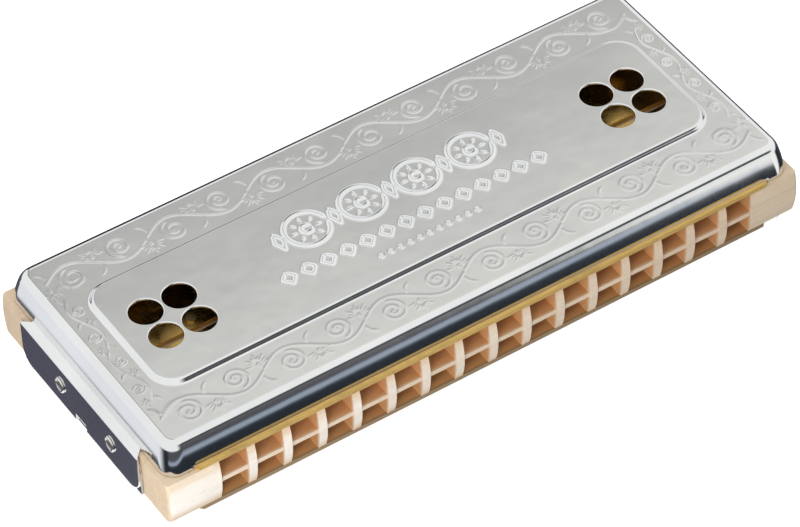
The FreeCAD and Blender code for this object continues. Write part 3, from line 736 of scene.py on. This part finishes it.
def lathe(profile, x, y, z, side, steps=40):
    """A turned shape along X from rows of distance along the axis and radius."""
    turn = np.linspace(0, 2 * math.pi, steps, endpoint=False)
    points = [(x + side * along, y + radius * math.cos(a), z + side * radius * math.sin(a))
              for along, radius in profile for a in turn]
    faces = [list(face) for face in grid_faces(len(profile), steps, closed=True)]
    faces += [list(range(steps))[::-1], list(range(len(points) - steps, len(points)))]
    return np.array(points), faces


def cover_nails(material):
    """Four nails through the end flaps, with rolled rims and dished heads."""
    head = NAILS.x - COVER.x
    radius = NAIL_HEAD_RADIUS
    point = head - NAIL_LENGTH
    profile = [(point, 0.05), (point + 1, NAIL_RADIUS * 0.8), (0, NAIL_RADIUS), (0, radius * 0.86),
               (head * 0.3, radius * 0.98), (head * 0.55, radius), (head * 0.85, radius * 0.95),
               (head, radius * 0.84), (head * 0.9, radius * 0.7), (head * 0.5, radius * 0.5),
               (head * 0.32, radius * 0.25), (head * 0.3, 0.02)]
    nails = [lathe(profile, side * COVER.x, y, z, side) for side in (-1, 1) for y, z in NAIL_SPOTS]
    piece = placed("cover_nail_set", *joined(nails), material, "nail_metal")
    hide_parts("cover_nails")
    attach(piece, BODY)


# ---------------------------------------------------------------- studio

def studio_world():
    """A pale studio painted by direction, mostly for the plating to mirror."""
    world = bpy.data.worlds.new("studio")
    bpy.context.scene.world = world
    world.use_nodes = True
    tree = world.node_tree
    way = Field(tree, tree.nodes.new("ShaderNodeTexCoord").outputs["Generated"])
    x, y, z = way.parts()
    ahead = y.step(-0.4, -0.6)
    # dark ground, darker in front, paler beyond the low end
    back = y.step(-0.2, 0.5)
    ground = back.mix((0.022, 0.028, 0.036, 1), (0.085, 0.085, 0.115, 1))
    beyond_end = z.step(-0.61, -0.57) * back * x.step(-0.42, -0.5)
    light = beyond_end.mix(ground, (0.85, 0.87, 0.92, 1))
    # pale table straight below, which hides the lower cover
    under = z.step(-0.735, -0.765) * y.step(0.1, -0.1) + z.step(-0.765, -0.79) * y.step(-0.1, 0.1)
    light = under.mix(light, (1.25, 1.25, 1.25, 1))
    # bluish bands low in front, and a white card towards the high end
    dusk = z.step(-0.30, -0.21) * ahead
    light = dusk.mix(light, (0.075, 0.08, 0.09, 1))
    glow = z.step(-0.345, -0.30) * z.step(-0.20, -0.27) * ahead
    light = glow.mix(light, (0.36, 0.42, 0.52, 1))
    card = x.step(0.40, 0.43) * (z + x * 3.45).step(1.245, 1.305) * ahead
    light = card.mix(light, (1.0, 1.0, 0.98, 1))
    # bright sky, and the graded soft box that the flat tops mirror
    sky = z.step(-0.02, 0.16)
    light = sky.mix(light, (0.93, 0.94, 0.95, 1))
    box = z.step(0.55, 0.66) * y.step(0.42, 0.5) * y.step(0.76, 0.68)
    box = box * x.step(0.14, 0.24) * x.step(0.62, 0.54)
    shade = (y + x * 0.265).step(0.7125, 0.675)
    light = box.mix(light, shade.mix((0.47, 0.475, 0.46, 1), (0.79, 0.79, 0.765, 1)))
    # dark flags that line the bevels and the rolled edges
    flag = x.step(0.17, 0.20) * x.step(0.26, 0.22) * y.step(0.35, 0.45) * z.step(0.35, 0.5)
    light = flag.mix(light, (0.16, 0.16, 0.165, 1))
    far = y.step(0.84, 0.92) * z.step(0.42, 0.3) * x.step(0.12, 0.22)
    light = far.mix(light, (0.03, 0.03, 0.035, 1))
    middle = x.step(-0.2, 0.2)
    front = y.step(-0.45, -0.6) * z.step(0.52, 0.42) * z.step(-0.06, 0.02)
    front = front * middle * x.step(0.43, 0.395)
    light = front.mix(light, (0.09, 0.093, 0.10, 1))
    edge = ahead * z.step(0.79, 0.70) * z.step(0.42, 0.5) * middle
    light = edge.mix(light, (0.07, 0.07, 0.075, 1))
    # the camera itself sees plain white
    seen = Field(tree, tree.nodes.new("ShaderNodeLightPath").outputs["Is Camera Ray"])
    light = seen.mix(light, (1, 1, 1, 1))
    tree.links.new(light.socket, tree.nodes["Background"].inputs["Color"])


def area_light(name, place, target, size, power, tint=(1, 1, 1)):
    """A soft square lamp that the plating doesn't mirror."""
    lamp = bpy.data.lights.new(name, "AREA")
    lamp.size = size
    lamp.energy = power
    lamp.color = tint
    holder = bpy.data.objects.new(name, lamp)
    holder.location = place
    holder.rotation_euler = (Vector(target) - Vector(place)).to_track_quat("-Z", "Y").to_euler()
    holder.visible_glossy = False
    bpy.context.scene.collection.objects.link(holder)


def studio_floor():
    """A wide pale floor under the harmonica, out of sight of the plating."""
    material, shader, place = new_material("pale_floor")
    grain = place.noise(40, 3)
    feed(shader, "Base Color", grain.mix((0.97, 0.97, 0.97, 1), (0.985, 0.985, 0.985, 1)))
    shader.inputs["Roughness"].default_value = 1.0
    shader.inputs["Emission Color"].default_value = (1, 1, 1, 1)
    shader.inputs["Emission Strength"].default_value = 0.55
    mesh = bpy.data.meshes.new("floor")
    corners = [(x * FLOOR_REACH, y * FLOOR_REACH, 0) for x, y in ((-1, -1), (1, -1), (1, 1), (-1, 1))]
    mesh.from_pydata(corners, [], [(0, 1, 2, 3)])
    mesh.materials.append(material)
    floor = bpy.data.objects.new("floor", mesh)
    floor.location.z = -FLOOR_GAP
    floor.visible_glossy = False
    floor.visible_diffuse = False
    bpy.context.scene.collection.objects.link(floor)


def studio_camera():
    """The long lens that looks down on the front left corner."""
    data = bpy.data.cameras.new("camera")
    data.sensor_width = 36
    data.lens = LENS
    camera = bpy.data.objects.new("camera", data)
    right, up = Vector(CAMERA_RIGHT), Vector(CAMERA_UP)
    turned = Matrix((right, up, right.cross(up))).transposed().to_4x4()
    camera.matrix_world = Matrix.Translation(CAMERA_PLACE) @ turned
    bpy.context.scene.collection.objects.link(camera)
    bpy.context.scene.camera = camera


# ---------------------------------------------------------------- the harmonica

comb_wood = wood()
plate_brass = brass("plate_brass_metal", (0.87, 0.57, 0.17, 1), (0.68, 0.43, 0.12, 1), 0.26)
reed_brass = brass("reed_brass_metal", (0.78, 0.60, 0.30, 1), (0.58, 0.42, 0.19, 1), 0.28)
chrome = plating()
nail_metal = nail_steel()

cover("top_cover_shell", "top_cover", COVER.x, False, chrome)
cover("bottom_cover_shell", "bottom_cover", COVER.x - SHEET, True, chrome)
eased_copy("comb_block", "comb", EDGE_EASE, comb_wood)
for bent in frame["joints"]:
    reed(bent, reed_brass)
cover_nails(nail_metal)
for label, node in frame["nodes"].items():
    if node.hide_render:
        continue
    node.data.materials.clear()
    node.data.materials.append(plate_brass if label.endswith("plate") else reed_brass)

studio_world()
studio_floor()
area_light("key", (-0.24, -0.20, 0.09), (-0.05, -0.02, 0.01), 0.12, 0.56)
area_light("fill", (-0.075, -0.16, 0.05), (-0.04, -0.02, 0.01), 0.05, 0.06, (0.75, 1.0, 1.5))
studio_camera()
bpy.context.scene.view_settings.view_transform = "Standard"
